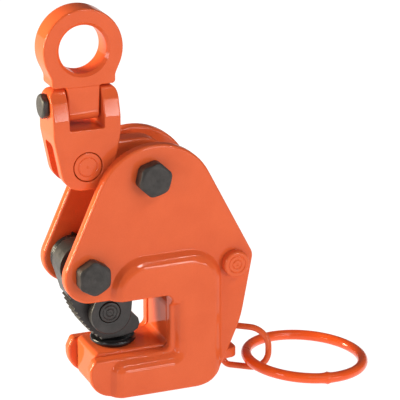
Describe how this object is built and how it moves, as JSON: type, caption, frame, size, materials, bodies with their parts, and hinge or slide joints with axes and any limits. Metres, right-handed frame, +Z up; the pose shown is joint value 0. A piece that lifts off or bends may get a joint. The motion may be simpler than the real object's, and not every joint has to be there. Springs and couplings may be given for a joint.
{
  "type": "plate lifting clamp",
  "caption": "Lateral plate lifting clamp: twin side plates with a C throat, toothed cam over a swivel pad, bell-crank lever, swivelling lifting eye and a tail pull ring.",
  "frame": {"origin": "on the flat underside of the lower jaw, straight below the lever's pivot and midway between the side plates", "axes": "+X from the throat mouth towards the pull ring, +Y across the clamp from the front plate to the rear plate, +Z up towards the lifting eye"},
  "size_m": [0.1882, 0.0876, 0.222],
  "materials": {
    "orange_paint": "gloss enamel",
    "ring_paint": "gloss enamel",
    "black_oxide": "blackened steel",
    "cam_steel": "blackened, hardened",
    "pad_steel": "blackened, oiled",
    "bronze": "machined bearing bronze",
    "spring_steel": "drawn wire"
  },
  "bodies": {
    "frame": {"front_side_plate": "orange_paint", "rear_side_plate": "orange_paint", "jaw_block": "orange_paint", "spacer_rivet": "orange_paint", "top_bolt": "black_oxide", "top_nut": "black_oxide", "cam_bolt": "black_oxide", "cam_nut": "black_oxide", "top_spacer_rear": "black_oxide", "top_spacer_front": "black_oxide", "cam_spacer_rear": "black_oxide", "cam_spacer_front": "black_oxide", "cam_spring": "spring_steel", "ring_lug": "orange_paint"},
    "pad": {"swivel_pad": "pad_steel", "pad_screw": "black_oxide"},
    "lever": {"lever": "orange_paint", "lever_bush": "bronze", "upper_link_pin": "black_oxide"},
    "cam": {"cam": "cam_steel", "cam_bush": "bronze", "lower_link_pin": "cam_steel"},
    "link": {"front_link": "cam_steel", "rear_link": "cam_steel"},
    "coupling": {"coupling": "orange_paint", "coupling_pin": "orange_paint", "cross_bolt": "black_oxide"},
    "eye": {"lifting_eye": "orange_paint"},
    "wire": {"wire_link": "orange_paint"},
    "ring": {"pull_ring": "ring_paint"}
  },
  "joints": [
    {"name": "lever_swing", "type": "hinge", "parent": "frame", "child": "lever", "pos_m": [0.0013, 0, 0.1277], "axis": [0, -1, 0], "range_deg": [0, 43]},
    {"name": "cam_swing", "type": "hinge", "parent": "frame", "child": "cam", "pos_m": [-0.0345, 0, 0.075], "axis": [0, -1, 0], "range_deg": [0, 43]},
    {"name": "link_swing", "type": "hinge", "parent": "cam", "child": "link", "pos_m": [-0.021, 0, 0.048], "axis": [0, -1, 0], "range_deg": [-43, 0]},
    {"name": "coupling_swing", "type": "hinge", "parent": "lever", "child": "coupling", "pos_m": [-0.0317, 0, 0.1342], "axis": [0, 1, 0], "range_deg": [-60, 4]},
    {"name": "eye_tilt", "type": "hinge", "parent": "coupling", "child": "eye", "pos_m": [-0.0317, 0, 0.168], "axis": [1, 0, 0], "range_deg": [-60, 60]},
    {"name": "pad_spin", "type": "hinge", "parent": "frame", "child": "pad", "pos_m": [-0.0144, 0, 0.026], "axis": [0, 0, 1], "continuous": true},
    {"name": "wire_swing", "type": "hinge", "parent": "frame", "child": "wire", "pos_m": [0.051, -0.0065, 0.011], "axis": [0, 0, 1], "range_deg": [-8, 45]},
    {"name": "ring_lift", "type": "hinge", "parent": "wire", "child": "ring", "pos_m": [0.06266, -0.01562, 0.0076], "axis": [-0.1435, -0.9896, 0], "range_deg": [0, 50]}
  ],
  "couplings": [
    {"joint": "cam_swing", "follows": "lever_swing", "ratio": 1},
    {"joint": "link_swing", "follows": "lever_swing", "ratio": -1}
  ]
}
